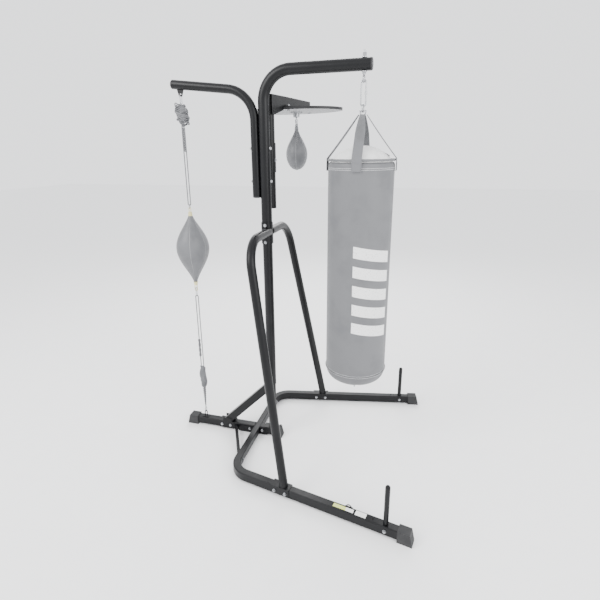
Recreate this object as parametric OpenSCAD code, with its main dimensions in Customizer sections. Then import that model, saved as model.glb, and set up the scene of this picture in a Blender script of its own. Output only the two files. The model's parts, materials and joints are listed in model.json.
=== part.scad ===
// Free-standing three-station boxing stand: heavy bag arm, double-end bag arm
// and speed bag platform on one mast, with the three bags hung in place.
// +X points along the heavy bag arm, +Y to the platform side, +Z up. The origin
// is on the floor at the middle of the stand's footprint.

/* [Base] */
// Length of a splayed front leg from its corner to the toe of its foot
leg_len = 1038; // [950:5:1100]
// Angle that each front leg splays outward
leg_splay = 11.2; // [5:0.1:14]
// Half the distance between the two rounded base corners
corner_half = 424; // [400:1:440]
// Distance from the mast axis back to the crossbar
crossbar_back = 105.5; // [95:0.5:120]
// Distance from the mast axis back to the toe of the rear foot
rear_reach = 611; // [600:1:640]
// Width of the leg tube
tube_w = 45; // [42:1:46]
// Height of the leg tube
tube_h = 51; // [48:1:52]
// Height of the rubber sole under each tube
sole = 10; // [8:1:12]
// Height of the weight pegs above the legs
peg_h = 226; // [180:1:250]

/* [Mast] */
// Outer diameter of the lower mast tube
mast_od = 56.5; // [56:0.1:56.8]
// Height of the heavy bag arm's centre line over the mast
arm_z = 2199; // [2150:1:2250]
// Reach of the heavy bag arm from the mast axis
arm_reach = 559; // [555:1:600]
// Bend radius of the heavy bag arm's centre line
arm_bend = 150; // [140:5:160]

/* [Double-end arm] */
// Outer diameter of the double-end bag arm
side_od = 48; // [46:1:50]
// Height of its centre line, produced to the mast axis
side_z = 2097; // [2090:1:2105]
// Reach of the double-end bag arm from the mast axis
side_reach = 525; // [520:1:560]
// Rise of the double-end bag arm
side_rise = 6.4; // [5:0.1:7]
// Bend radius of its centre line
side_bend = 162; // [150:2:180]

/* [Speed bag platform] */
// Direction of the platform, counted from the heavy bag arm
platform_turn = 77.5; // [70:0.5:90]
// Distance from the mast axis to the swivel
swivel_reach = 366; // [360:1:380]
// Width of the board
board_w = 574; // [540:2:580]
// Depth of the board, back edge to nose
board_d = 375; // [360:5:400]
// Thickness of the board
board_t = 15; // [14:1:18]
// Height of the board's underside
board_z = 2021; // [2018:1:2030]

/* [Bags] */
// Radius of the heavy bag
bag_r = 175; // [170:1:180]
// Height of the heavy bag's rim
bag_top_z = 1756; // [1740:1:1770]
// Height of the heavy bag's base
bag_base_z = 511; // [500:1:520]
// Radius of the double-end bag
lemon_r = 100; // [95:1:105]
// Radius of the speed bag
pear_r = 67; // [60:1:70]

/* [Hidden] */
$fn = 64;

steel = "#25262b";
zinc = "#b9bbbe";
rubber = "#1b1b1d";
grey = "#96979a";
toe_x = -crossbar_back + leg_len * cos(leg_splay) + (tube_w / 2 + 4.5) * sin(leg_splay);
centre_x = (toe_x - rear_reach) / 2;

tube_z = sole + tube_h / 2;
leg_top = sole + tube_h;
wall = 2.5;
rear_w = 49;
rear_h = 49;
rear_z = sole + rear_h / 2;
rear_top = sole + rear_h;
seam_y = 306;
corner_bend = 110;
foot_len = 74;
bolt_r = 4;
hole_r = 4.2;
seam_gap = 0.02;

toe = 32;
front_end = 44;
front_toe = 21;
front_foot_len = 27;

peg_a = 902;
peg_r = 12.7;
eye_a = 706;
saddle_a = 324;
saddle_len = 110;
frame_foot_a = 337;
base_bolt_z = 35;
strut_x = -248;
strut_y = -262;

mast_foot_z = 382;
upper_od = 60;
upper_z0 = 1352;
frame_od = 48;
frame_top = [13.6, 333.6, 1360];
frame_bend = 155;
collar_z = [1291, 1413];
collar_bolt_z = [1301, 1398];
collar_r = 33.5;
collar_flat = 35.5;
brace_w = 49;
brace_turn = 45;
brace_foot_x = -318;
brace_reach = 60;

side_x = 54.1;
clamp_z = [1639, 1813];
side_foot_z = 1556;
cord_x = -484;
bag_x = 526;
sleeve_od = 58;
post_od = 50;
post_d = 59.5;
sleeve_z = [1686, 1842];
screw_z = 1751;
post_z0 = 1485;

bracket_z = 2089;
bracket_half = 32;
bracket_end = 487;
bracket_t = 4;
bracket_knee = 161;
board_wide = 377;
nose_d = 157;
board_back = board_wide - board_d + nose_d;
ball_z = board_z - 20;
ball_r = 14;

eye_z = 2134;
eye_r = 15;
eye_wire = 5;
link_wire = 4;
play = 0.35;
link_top_z = eye_z - eye_r + eye_wire + link_wire + play;
link_low_z = 2009;
link_r = 12;
strap_ring_z = link_low_z + 2 * link_wire + play;
strap_ring_r = 18;
strap_top_z = strap_ring_z - 2 * strap_ring_r;
strap_w = 50;
strap_t = 3;
strap_drop = 60;
cap_gap = 14.4;

cord_pivot_z = 2101;
clip_low_z = cord_pivot_z - 47;
stem_z = cord_pivot_z - 50.6;
knot_z = 2000;
knot_end_z = 1932;
lemon_pivot_z = 1478;
upper_loop_z = 1496;
lemon_low_z = 968;
lower_loop_z = 933;
lower_knot_z = [285, 437];
lower_tail_z = 145;
floor_pivot_z = 95.4;
cord_wire = 3;
hook_wire = 2;
touch = 0.05;

pear_ring_z = 1957;
pear_ring_r = 9.5;
pear_top_z = 1938;
pear_base_z = 1683;

saddle_holes = [[saddle_a - 33, base_bolt_z], [saddle_a + 33, base_bolt_z]];
peg_hole = [peg_a, base_bolt_z];
rear_holes = [[-355, base_bolt_z], [-295, base_bolt_z], [-156, base_bolt_z],
    [-70, base_bolt_z]];
corner_seat = corner_half - seam_y;
corner_bolt_y = seam_y + 14;
bracket_places = [for (x = [board_back + 30, bracket_end - 40], s = [-1, 1])
    [x, s * (bracket_half + 14)]];

// ---------- helpers ----------

// Rectangle with rounded corners, exact arcs
module soft_rect(w, h, r) {
    square([w - 2 * r, h], center = true);
    square([w, h - 2 * r], center = true);
    for (sx = [-1, 1], sy = [-1, 1])
        translate([sx * (w / 2 - r), sy * (h / 2 - r)]) circle(r, $fn = 32);
}

// Hollow rectangular tube section
module box_section(w, h, t) {
    difference() {
        soft_rect(w, h, 6);
        soft_rect(w - 2 * t, h - 2 * t, 6 - t);
    }
}

// Hollow round tube section
module ring_section(od, t) {
    difference() {
        circle(d = od);
        circle(d = od - 2 * t);
    }
}

// Tube from the origin up +Z for l1, then through a bend towards +X, then straight for l2;
// seam leaves its lengths that far apart
module bent(l1, r, turn, l2, seam = 0) {
    linear_extrude(l1 - seam) children();
    translate([r, 0, l1]) rotate([90, 0, 180])
        rotate_extrude(angle = turn, $fn = 128) translate([r, 0]) children();
    translate([r * (1 - cos(turn)), 0, l1 + r * sin(turn)]) rotate([0, turn, 0])
        translate([0, 0, seam]) linear_extrude(l2 - seam) children();
}

// Frame of the far front leg: x along the leg from its corner, y outward
module leg_frame(side) {
    mirror([0, side > 0 ? 0 : 1, 0]) translate([-crossbar_back, corner_half, 0])
        rotate([0, 0, leg_splay]) children();
}

// Frame of the platform: x from the mast towards the nose of the board
module platform_frame() {
    rotate([0, 0, platform_turn]) children();
}

// Solid ring of round wire in the XY plane
module wire_ring(r, wire) {
    rotate_extrude($fn = 64) translate([r, 0]) circle(wire, $fn = 24);
}

// Closed link of round wire in the XZ plane, its end arcs centred at z1 and z2
module long_link(r, wire, z1, z2) {
    for (s = [-1, 1])
        translate([s * r, 0, z1]) cylinder(r = wire, h = z2 - z1, $fn = 24);
    for (e = [[z1, 180], [z2, 0]])
        translate([0, 0, e[0]]) rotate([90, 0, 0]) rotate([0, 0, e[1]])
            rotate_extrude(angle = 180, $fn = 64) translate([r, 0]) circle(wire, $fn = 24);
}

// Hex bolt along +Y from y = 0 to grip, washer under the head and nut on the end
module bolt(grip) {
    rotate([-90, 0, 0]) {
        translate([0, 0, -7]) cylinder(r = 7.2, h = 5.4, $fn = 6);
        translate([0, 0, -1.6]) cylinder(r = 9, h = 1.6, $fn = 32);
        translate([0, 0, -2]) cylinder(r = bolt_r, h = grip + 10, $fn = 32);
        translate([0, 0, grip]) cylinder(r = 9, h = 1.6, $fn = 32);
        translate([0, 0, grip + 1.6]) cylinder(r = 7.2, h = 6, $fn = 6);
    }
}

// Drill through everything along Y at each [x, z]
module drill_y(places, r = hole_r) {
    for (p = places)
        translate([p[0], 0, p[1]]) rotate([90, 0, 0])
            cylinder(r = r, h = 120, center = true, $fn = 32);
}

// ---------- base ----------

// Front leg with its rounded corner, drawn on the near side
module leg_tube() {
    tangent = corner_bend * tan((90 - leg_splay) / 2);
    difference() {
        translate([-crossbar_back, -seam_y, tube_z]) rotate([90, 0, 0])
            bent(corner_seat - tangent, corner_bend, 90 - leg_splay, leg_len - tangent - toe,
                seam_gap)
                box_section(tube_w, tube_h, wall);
        leg_frame(-1) {
            drill_y(saddle_holes);
            drill_y([peg_hole]);
            translate([peg_a, 0, leg_top - 6]) cylinder(r = 10.1, h = 20);
            translate([838, 0, leg_top - 6]) cylinder(r = bolt_r, h = 20, $fn = 32);
        }
        translate([-crossbar_back, -corner_bolt_y, base_bolt_z]) rotate([0, 90, 0])
            cylinder(r = hole_r, h = 120, center = true, $fn = 32);
    }
}

module near_leg() { color(steel) leg_tube(); }

module far_leg() { color(steel) mirror([0, 1, 0]) leg_tube(); }

// Straight crossbar, its ends sleeved into the two legs
module crossbar() {
    w = tube_w - 2 * wall - 0.1;
    h = tube_h - 2 * wall - 0.1;
    color(steel) difference() {
        translate([-crossbar_back, 0, tube_z]) rotate([90, 0, 0])
            linear_extrude(2 * seam_y + 50, center = true) box_section(w, h, wall);
        for (s = [-1, 1])
            translate([-crossbar_back, s * corner_bolt_y, base_bolt_z]) rotate([0, 90, 0])
                cylinder(r = hole_r, h = 120, center = true, $fn = 32);
    }
}

// Rear leg in two lengths that butt against the crossbar, the front one under the mast
module rear_leg() {
    gap = tube_w / 2 - wall + 0.1;
    color(steel) difference() {
        for (run = [[-rear_reach + toe, -crossbar_back - gap], [-crossbar_back + gap, front_end]])
            translate([run[0], 0, rear_z]) rotate([90, 0, 90])
                linear_extrude(run[1] - run[0]) box_section(rear_w, rear_h, wall);
        drill_y(rear_holes);
    }
}

// Channel under the crossbar that ties the two lengths of the rear leg
module cross_bracket() {
    inner = rear_w / 2 + 0.1;
    color(steel) difference() {
        union() {
            translate([-235, -inner - 3, sole - 3.1]) cube([199, 2 * inner + 6, 3]);
            for (s = [-1, 1], run = [[-235, -132], [-79, -36]])
                translate([run[0], s > 0 ? inner : -inner - 3, sole - 3.1])
                    cube([run[1] - run[0], 3, 44]);
        }
        drill_y(rear_holes);
    }
}

// Rubber wedge foot on the end of a tube that runs along +X and ends at x = 0
module foot(w, h, len, nose) {
    t = 4.5;
    hw = w / 2 + t;
    color(rubber) difference() {
        translate([0, hw, 0]) rotate([90, 0, 0]) linear_extrude(2 * hw)
            polygon([[nose - len, 0], [nose, 0], [nose - 1, 9], [nose - 14, sole + h + t],
                [nose - len, sole + h + t]]);
        translate([-len, 0, sole + h / 2]) rotate([90, 0, 90])
            linear_extrude(len + touch) soft_rect(w + 0.1, h + 0.1, 6);
        for (x = [nose - len + 6:16:nose - 20])
            translate([x, -hw - 1, -1]) cube([6, 2 * hw + 2, 2.5]);
    }
}

module leg_foot(side) {
    leg_frame(side) translate([leg_len - toe, 0, 0]) foot(tube_w, tube_h, foot_len, toe);
}

module near_foot() { leg_foot(-1); }
module far_foot() { leg_foot(1); }
module rear_foot() {
    mirror([1, 0, 0]) translate([rear_reach - toe, 0, 0]) foot(rear_w, rear_h, foot_len, toe);
}
module front_foot() {
    translate([front_end, 0, 0]) foot(rear_w, rear_h, front_foot_len, front_toe);
}

// Bolts of the base: crossbar sleeves, rear leg, saddles and pegs
module base_bolts() {
    rear = rear_w / 2 + 3.2;
    saddle = tube_w / 2 + 3.2;
    leg = tube_w / 2 + 0.1;
    color(zinc) {
        for (s = [-1, 1])
            translate([-crossbar_back + leg, s * corner_bolt_y, base_bolt_z])
                rotate([0, 0, 90]) bolt(2 * leg);
        for (p = rear_holes) translate([p[0], -rear, p[1]]) bolt(2 * rear);
        for (s = [-1, 1]) leg_frame(s) {
            for (p = saddle_holes) translate([p[0], -saddle, p[1]]) bolt(2 * saddle);
            translate([peg_hole[0], -leg, peg_hole[1]]) bolt(2 * leg);
        }
    }
}

// Thin strut from the rear leg to the near corner, its ends pressed flat
module side_strut() {
    a = [strut_x, -rear_w / 2 - 12, base_bolt_z];
    b = [-crossbar_back - tube_w / 2 + wall - 10.6, strut_y, base_bolt_z];
    run = b - a;
    color(steel) {
        translate(a) rotate([0, 90, atan2(run[1], run[0])])
            difference() {
                cylinder(r = 10.5, h = norm(run), $fn = 40);
                translate([0, 0, -1]) cylinder(r = 8.5, h = norm(run) + 2, $fn = 40);
            }
        translate([a[0] - 12, a[1] - 2, a[2] - 12]) cube([24, 13.95, 24]);
        translate([b[0] - 4, b[1] - 14, b[2] - 12]) cube([14.55, 26, 24]);
    }
}

// Post that stands on the rear leg inside the mast, on its foot plate
module base_post() {
    color(steel) {
        difference() {
            translate([-56, -24, rear_top + touch]) cube([92, 48, 5]);
            translate([0, 0, rear_top - 1]) cylinder(d = mast_od - 8, h = 20);
        }
        translate([0, 0, rear_top + touch]) linear_extrude(700)
            ring_section(mast_od - 6.1, wall);
    }
}

// Square brace from the saddle up to the foot of the mast
module rear_brace() {
    run = (-brace_foot_x) / cos(brace_turn);
    color(steel) difference() {
        translate([brace_foot_x, 0, rear_top + 3.2]) rotate([90, 0, 90])
            rotate([-brace_turn, 0, 0]) translate([0, 0, -brace_reach])
            linear_extrude(run + brace_reach) box_section(brace_w, brace_w, wall);
        translate([brace_foot_x - 150, -50, rear_top + 3.2 - 150]) cube([300, 100, 150]);
        cylinder(d = mast_od - 6, h = 800);
        translate([0, 0, mast_foot_z - touch]) cylinder(d = mast_od + 0.1, h = 200);
        translate([0, -50, 0]) cube([200, 100, 800]);
    }
}

// Bracket that straddles the rear leg and holds the foot of the brace
module brace_saddle() {
    inner = rear_w / 2 + 0.1;
    x0 = -376;
    len = 110;
    color(steel) difference() {
        union() {
            translate([x0, -inner - 3, rear_top + 0.1]) cube([len, 2 * inner + 6, 3]);
            for (s = [-1, 1]) translate([x0, s > 0 ? inner : -inner - 3, sole + 2]) {
                cube([len, 3, rear_h + 1]);
                translate([30, 0, rear_h]) cube([62, 3, 26]);
            }
        }
        drill_y(rear_holes);
    }
}

// Bracket that straddles a front leg under the A-frame's foot
module leg_saddle(side) {
    inner = tube_w / 2 + 0.1;
    color(steel) leg_frame(side) difference() {
        union() {
            translate([saddle_a - saddle_len / 2, -inner - 3, leg_top + 0.1])
                cube([saddle_len, 2 * inner + 6, 3]);
            for (s = [-1, 1])
                translate([saddle_a - saddle_len / 2, s > 0 ? inner : -inner - 3, sole + 8])
                    cube([saddle_len, 3, tube_h - 6]);
        }
        drill_y(saddle_holes);
    }
}

module near_saddle() { leg_saddle(-1); }
module far_saddle() { leg_saddle(1); }

// Weight plate peg: a round bar with a domed top and a spigot inside the leg
module peg(side) {
    color(steel) leg_frame(side) translate([peg_a, 0, 0]) difference() {
        union() {
            translate([0, 0, leg_top]) cylinder(r = peg_r, h = peg_h - peg_r);
            intersection() {
                translate([0, 0, leg_top + peg_h - peg_r]) sphere(peg_r);
                translate([0, 0, leg_top + peg_h - peg_r + 50])
                    cube([60, 60, 100], center = true);
            }
            translate([0, 0, sole + wall + 0.5])
                cylinder(r = 10, h = tube_h - wall + 2);
        }
        drill_y([[0, base_bolt_z]]);
    }
}

module near_peg() { peg(-1); }
module far_peg() { peg(1); }

// Loop for an exercise band, on the inner side of the near leg
module leg_eye() {
    color(steel) leg_frame(-1) translate([eye_a, -tube_w / 2 + 6, leg_top + touch]) {
        translate([-20, -5, 0]) cube([40, 10, 2.5]);
        translate([0, 0, 2]) rotate([90, 0, 0])
            rotate_extrude(angle = 180, $fn = 48) translate([13, 0]) circle(2.5, $fn = 24);
    }
}

// Two blank labels on the near leg
module leg_labels() {
    color("white") leg_frame(-1)
        for (p = [[628, 108, 22], [747, 56, 30]])
            translate([p[0], -p[2] / 2, leg_top + 0.05]) cube([p[1], p[2], 0.6]);
}

// Hook on the rear leg that holds the double-end bag's lower cord
module floor_hook() {
    r = 8;
    wire = 2.8;
    arch_z = floor_pivot_z + 2.4 + wire + 0.4 - r;
    color(steel) translate([cord_x, 0, 0]) {
        translate([-22, -16, rear_top + touch]) cube([44, 32, 3]);
        for (s = [-1, 1]) translate([s * r, 0, rear_top + 2])
            cylinder(r = wire, h = arch_z - rear_top - 2, $fn = 24);
        translate([0, 0, arch_z]) rotate([90, 0, 0])
            rotate_extrude(angle = 180, $fn = 48) translate([r, 0]) circle(wire, $fn = 24);
    }
}

// ---------- mast ----------

module lower_mast() {
    color(steel) difference() {
        translate([0, 0, mast_foot_z]) linear_extrude(1500 - mast_foot_z)
            ring_section(mast_od, 3);
        for (z = collar_bolt_z) drill_y([[0, z]]);
    }
}

// One side of the A-frame: level out of the collar, round a bend and down to its leg
module frame_side() {
    foot_p = [-crossbar_back + frame_foot_a * cos(leg_splay),
        corner_half + frame_foot_a * sin(leg_splay), leg_top + 8];
    run = foot_p - frame_top;
    lean = atan2(run[0], -run[2]);
    turn = acos(run[1] / norm(run));
    tangent = frame_bend * tan(turn / 2);
    frame_start = 16;
    difference() {
        translate([frame_top[0], frame_start, frame_top[2]]) rotate([0, -lean, 0])
            rotate([0, 90, 90])
            bent(frame_top[1] - frame_start - tangent, frame_bend, turn,
                norm(run) - tangent + 20, seam_gap)
                ring_section(frame_od, 2);
        cylinder(r = collar_r + touch, h = 2000);
        leg_frame(1) translate([frame_foot_a - 100, -100, 0])
            cube([200, 200, leg_top + 3.15]);
    }
}

module a_frame_far() { color(steel) frame_side(); }
module a_frame_near() { color(steel) mirror([0, 1, 0]) frame_side(); }

// Sleeve round the mast joint that the A-frame's sides are welded to
module mast_collar() {
    inner = upper_od / 2 + 0.1;
    h = collar_z[1] - collar_z[0];
    color(steel) difference() {
        union() {
            translate([0, 0, collar_z[0]]) cylinder(r = collar_r, h = h);
            for (z = collar_bolt_z) translate([-10, -collar_flat, z - 10])
                cube([20, 2 * collar_flat, 20]);
        }
        translate([0, 0, collar_z[0] - 1]) cylinder(r = inner, h = h + 2);
        for (z = collar_bolt_z) drill_y([[0, z]]);
    }
}

module collar_bolts() {
    side = collar_flat + 0.1;
    color(zinc) for (z = collar_bolt_z) translate([0, -side, z]) bolt(2 * side);
}

// Upper mast and heavy bag arm, one bent tube
module upper_mast() {
    color(steel) difference() {
        translate([0, 0, upper_z0])
            bent(arm_z - arm_bend - upper_z0, arm_bend, 90, arm_reach - arm_bend)
            ring_section(upper_od, 1.7);
        drill_y([[0, collar_bolt_z[1]]]);
        for (z = clamp_z) translate([0, 0, z]) rotate([0, 90, 0])
            cylinder(r = hole_r, h = 160, center = true, $fn = 32);
        translate([bag_x, 0, 1900]) cylinder(r = 6.2, h = 500, $fn = 32);
    }
}

// Domed plug for the end of a tube, along +X from the tube's end
module plug(od, t) {
    color(rubber) {
        translate([-18, 0, 0]) rotate([0, 90, 0]) cylinder(d = od - 2 * t - 0.2, h = 18.1);
        translate([0.05, 0, 0]) rotate([0, 90, 0]) rotate_extrude($fn = 64)
            polygon([[0, 0], [od / 2, 0], [od / 2, 2],
                for (a = [0:15:90]) [od / 2 - 6 + 6 * cos(a), 2 + 6 * sin(a)], [0, 8]]);
    }
}

module arm_plug() { translate([arm_reach, 0, arm_z]) plug(upper_od, 1.7); }

// Double-end bag arm, one bent tube bolted to the back of the mast
module side_arm() {
    turn = 90 - side_rise;
    rise = side_z + tan(side_rise) * (side_x + side_bend * (1 - cos(turn)))
        - side_bend * sin(turn) - side_foot_z;
    reach = (side_reach - side_x - side_bend * (1 - cos(turn))) / cos(side_rise);
    color(steel) difference() {
        mirror([1, 0, 0]) translate([side_x, 0, side_foot_z]) bent(rise, side_bend, turn, reach,
            seam_gap) ring_section(side_od, 2);
        for (z = clamp_z) translate([-side_x, 0, z]) rotate([0, 90, 0])
            cylinder(r = hole_r, h = 80, center = true, $fn = 32);
    }
}

module side_arm_plugs() {
    mirror([1, 0, 0]) translate([side_reach, 0, side_z + side_reach * tan(side_rise)])
        rotate([0, -side_rise, 0]) plug(side_od, 2);
    translate([-side_x, 0, side_foot_z]) rotate([0, 90, 0]) plug(side_od, 2);
}

// Two bolts that clamp the double-end bag arm to the mast
module clamp_bolts() {
    grip = upper_od / 2 + side_x + side_od / 2;
    color(zinc) for (z = clamp_z)
        translate([upper_od / 2, 0, z]) rotate([0, 0, 90]) bolt(grip);
}

// Tapered tab under the double-end bag arm
module cord_tab() {
    arm_low = side_z + tan(side_rise) * -cord_x - side_od / 2 / cos(side_rise);
    slope = 20 * tan(side_rise);
    color(steel) translate([cord_x, 0, 0]) difference() {
        translate([0, 2, 0]) rotate([90, 0, 0]) linear_extrude(4)
            polygon([[-20, arm_low + slope - touch], [-9, cord_pivot_z - 8],
                [9, cord_pivot_z - 8], [20, arm_low - slope - touch]]);
        drill_y([[0, cord_pivot_z + 2.2]], 5.4);
    }
}

// Sleeve fixed to the mast, in which the platform's post slides
module post_sleeve() {
    h = sleeve_z[1] - sleeve_z[0];
    color(steel) platform_frame() difference() {
        translate([0, 0, sleeve_z[0]]) {
            translate([post_d, 0, 0]) cylinder(d = sleeve_od, h = h);
            translate([14, -17, 0]) cube([post_d - 14, 34, h]);
        }
        translate([0, 0, 1000]) cylinder(d = upper_od + 0.1, h = 2000);
        translate([post_d, 0, 1000]) cylinder(d = post_od + 0.2, h = 2000);
        translate([post_d, 0, screw_z]) rotate([90, 0, 0])
            cylinder(r = hole_r, h = 80, $fn = 32);
    }
}

// Screw that locks the platform's post in its sleeve
module sleeve_screw() {
    color(zinc) platform_frame() translate([post_d, -sleeve_od / 2 - 0.1, screw_z])
        rotate([90, 0, 0]) {
            translate([0, 0, -3.6]) cylinder(r = bolt_r, h = 10, $fn = 32);
            cylinder(r = 9, h = 1.6, $fn = 32);
            translate([0, 0, 1.6]) cylinder(r = 7.2, h = 5.4, $fn = 6);
        }
}

// Eyebolt through the heavy bag arm
module bag_eyebolt() {
    color(zinc) translate([bag_x, 0, 0]) {
        translate([0, 0, eye_z]) rotate([0, 90, 0]) wire_ring(eye_r, eye_wire);
        translate([0, 0, eye_z + eye_r + 2]) cylinder(r = 6, h = 112, $fn = 32);
    }
}

// Nut, washer and spacer above the arm, nut and washer below it
module eyebolt_nuts() {
    color(zinc) translate([bag_x, 0, 0]) difference() {
        union() {
            translate([0, 0, arm_z + upper_od / 2 + 0.2]) {
                cylinder(r = 13, h = 3, $fn = 40);
                translate([0, 0, 3]) cylinder(r = 9.5, h = 11, $fn = 6);
                translate([0, 0, 14]) cylinder(r = 9.5, h = 8, $fn = 6);
            }
            translate([0, 0, arm_z - upper_od / 2 - 3.4]) {
                cylinder(r = 13, h = 3, $fn = 40);
                translate([0, 0, -9]) cylinder(r = 9.5, h = 9, $fn = 6);
            }
        }
        translate([0, 0, 2000]) cylinder(r = 6.05, h = 400, $fn = 32);
    }
}

// ---------- speed bag platform ----------

module platform_post() {
    color(steel) platform_frame() translate([post_d, 0, post_z0])
        linear_extrude(bracket_z - bracket_t - touch - post_z0) ring_section(post_od, wall);
}

// Folded bracket that carries the board, closed on the post
module platform_bracket() {
    t = bracket_t;
    top = board_z + board_t;
    back = post_d - post_od / 2 - 1;
    foot_x = board_back - 3;
    end_z = bracket_z - 3;
    // side plate outline, along the platform and up
    side = [[back, board_z - 32], [back + 30, board_z - 32], [foot_x, board_z - 4],
        [foot_x, top + 0.1], [bracket_end + 14, top + 0.1], [bracket_end, top + 16],
        [bracket_end, end_z], [bracket_knee, bracket_z], [back, bracket_z]];
    color(steel) platform_frame() difference() {
        union() {
            for (y = [-bracket_half, bracket_half - t])
                translate([0, y + t, 0]) rotate([90, 0, 0]) linear_extrude(t) polygon(side);
            translate([0, bracket_half - 1, 0]) rotate([90, 0, 0])
                linear_extrude(2 * bracket_half - 2)
                    polygon([[back, bracket_z], [bracket_knee, bracket_z], [bracket_end, end_z],
                        [bracket_end, end_z - t], [bracket_knee, bracket_z - t],
                        [back, bracket_z - t]]);
            for (s = [-1, 1])
                translate([board_back + 6, s > 0 ? bracket_half - 1 : -bracket_half - 27, top + 0.1])
                    cube([bracket_end - board_back - 16, 28, t]);
        }
        translate([post_d, 0, board_z - 100]) cylinder(d = post_od + 0.1, h = bracket_z - t - board_z + 100);
        for (p = bracket_places)
            translate([p[0], p[1], board_z]) cylinder(r = hole_r, h = 300, $fn = 32);
    }
}

// Oval board, widest towards the nose
module board_outline() {
    back_d = board_d - nose_d;
    polygon([for (a = [0:3:357])
        [board_wide + (cos(a) < 0 ? back_d : nose_d) * cos(a), board_w / 2 * sin(a)]]);
}

module platform_board() {
    color("#808184") platform_frame() difference() {
        translate([0, 0, board_z]) linear_extrude(board_t) board_outline();
        for (p = bracket_places)
            translate([p[0], p[1], board_z - 1]) cylinder(r = hole_r, h = 60, $fn = 32);
    }
}

// Bolts that hold the board under its bracket
module bracket_bolts() {
    grip = board_t + bracket_t + 0.3;
    color(zinc) platform_frame() for (p = bracket_places)
        translate([p[0], p[1], board_z - 0.1]) rotate([90, 0, 0]) bolt(grip);
}

// Swivel plate with its ball socket
module swivel_plate() {
    color(zinc) platform_frame() translate([swivel_reach, 0, board_z]) difference() {
        union() {
            translate([0, 0, -5 - touch]) cylinder(r = 37, h = 5);
            translate([0, 0, -29]) cylinder(r = 19, h = 25);
            for (a = [45:90:315]) rotate([0, 0, a]) translate([28, 0, -8])
                cylinder(r = 4.5, h = 4, $fn = 24);
        }
        translate([0, 0, ball_z - board_z]) sphere(ball_r + 0.08);
    }
}

// Ball, stem and ring that turn in the socket
module swivel_hook() {
    color(zinc) platform_frame() translate([swivel_reach, 0, 0]) {
        translate([0, 0, ball_z]) sphere(ball_r);
        translate([0, 0, pear_ring_z + pear_ring_r]) {
            cylinder(r = 4, h = ball_z - pear_ring_z - pear_ring_r - 3, $fn = 32);
            cylinder(r = 9, h = 13, $fn = 40);
        }
        translate([0, 0, pear_ring_z]) rotate([90, 0, 0]) wire_ring(pear_ring_r, 3);
    }
}

// Pear-shaped speed bag with its sewn tab
module speed_bag() {
    h = pear_top_z - pear_base_z;
    // radius grows from the neck as a smooth pear and closes in a round base
    function pear(t) = t < 0.62 ? 9 + (pear_r - 9) * pow(sin(90 * t / 0.62), 1.7)
        : pear_r * sqrt(1 - pow((t - 0.62) / 0.38, 2));
    color(grey) platform_frame() translate([swivel_reach, 0, 0]) {
        rotate_extrude($fn = 72)
            polygon([[0, pear_top_z], for (k = [0:1:24]) [max(pear(k / 24), 0.01), pear_top_z - h * k / 24],
                [0, pear_base_z]]);
        translate([0, 0, pear_ring_z - pear_ring_r]) rotate([0, 90, 0]) difference() {
            union() {
                cylinder(r = 7.5, h = 8, center = true, $fn = 40);
                translate([5.5, 0, 0]) cube([9, 15, 8], center = true);
            }
            cylinder(r = 4.3, h = 30, center = true, $fn = 32);
        }
    }
}

// ---------- heavy bag ----------

module carabiner() {
    color(zinc) translate([bag_x, 0, 0]) {
        long_link(link_r, link_wire, link_low_z + link_r, link_top_z - link_r);
        translate([link_r, 0, 2060]) cylinder(r = 6, h = 16, $fn = 32);
    }
}

// Ring that gathers the straps
module strap_ring() {
    color(zinc) translate([bag_x, 0, strap_ring_z - strap_ring_r]) rotate([0, 90, 0])
        wire_ring(strap_ring_r, link_wire);
}

module heavy_bag() {
    round_r = 70;
    rim = 14;
    color(grey) translate([bag_x, 0, 0]) rotate_extrude($fn = 96)
        polygon([[0, bag_base_z], [bag_r - round_r, bag_base_z],
            for (a = [-80:10:0]) [bag_r - round_r + round_r * cos(a),
                bag_base_z + round_r + round_r * sin(a)],
            [bag_r, bag_top_z], [bag_r - rim, bag_top_z], [bag_r - rim, bag_top_z - 30],
            [0, bag_top_z - 30]]);
}

// Domed cloth cap inside the rim
module bag_cap() {
    r = bag_r - cap_gap;
    edge = bag_top_z - 12;
    crown = 84;
    color("white") translate([bag_x, 0, 0]) rotate_extrude($fn = 96)
        polygon([[0, bag_top_z - 29.8], [r, bag_top_z - 29.8], [r, edge],
            for (k = [11:-1:0]) [r * k / 12, edge + crown * (1 - pow(k / 12, 2.4))]]);
}

// Four straps from the rim up to the ring
module bag_straps() {
    out = bag_r + 0.4;
    top = strap_top_z + 8;
    gather = 14;
    color(grey) translate([bag_x, 0, 0]) difference() {
        union() {
            for (a = [0:90:270]) rotate([0, 0, a]) translate([0, strap_w / 2, 0])
                rotate([90, 0, 0]) linear_extrude(strap_w)
                    polygon([[0, top - 3], [out, bag_top_z + 0.6], [out, bag_top_z - strap_drop],
                        [out + strap_t, bag_top_z - strap_drop], [out + strap_t, bag_top_z + 2],
                        [0, top + 2]]);
            translate([-gather, -gather, top - 20]) cube([2 * gather, 2 * gather, 24]);
        }
        translate([0, 0, strap_ring_z - strap_ring_r]) rotate([0, 90, 0])
            wire_ring(strap_ring_r, link_wire + touch);
    }
}

// Ring under the bag's base
module base_ring() {
    loop = 58;
    color(grey) translate([bag_x, 0, bag_base_z]) {
        translate([0, 0, -loop - 8]) rotate([90, 0, 0]) wire_ring(12, 3);
        translate([-12, -2, -loop]) cube([24, 4, loop - touch]);
    }
}

// ---------- double-end bag ----------

// Snap clip in the tab, with the stem that the cord is knotted to
module upper_clip() {
    color(zinc) translate([cord_x, 0, 0]) {
        rotate([0, 0, 90]) long_link(9, 2.6, clip_low_z + 9, cord_pivot_z - 9);
        translate([0, 0, stem_z]) cylinder(r = 3.5, h = clip_low_z - stem_z, $fn = 24);
    }
}

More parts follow.
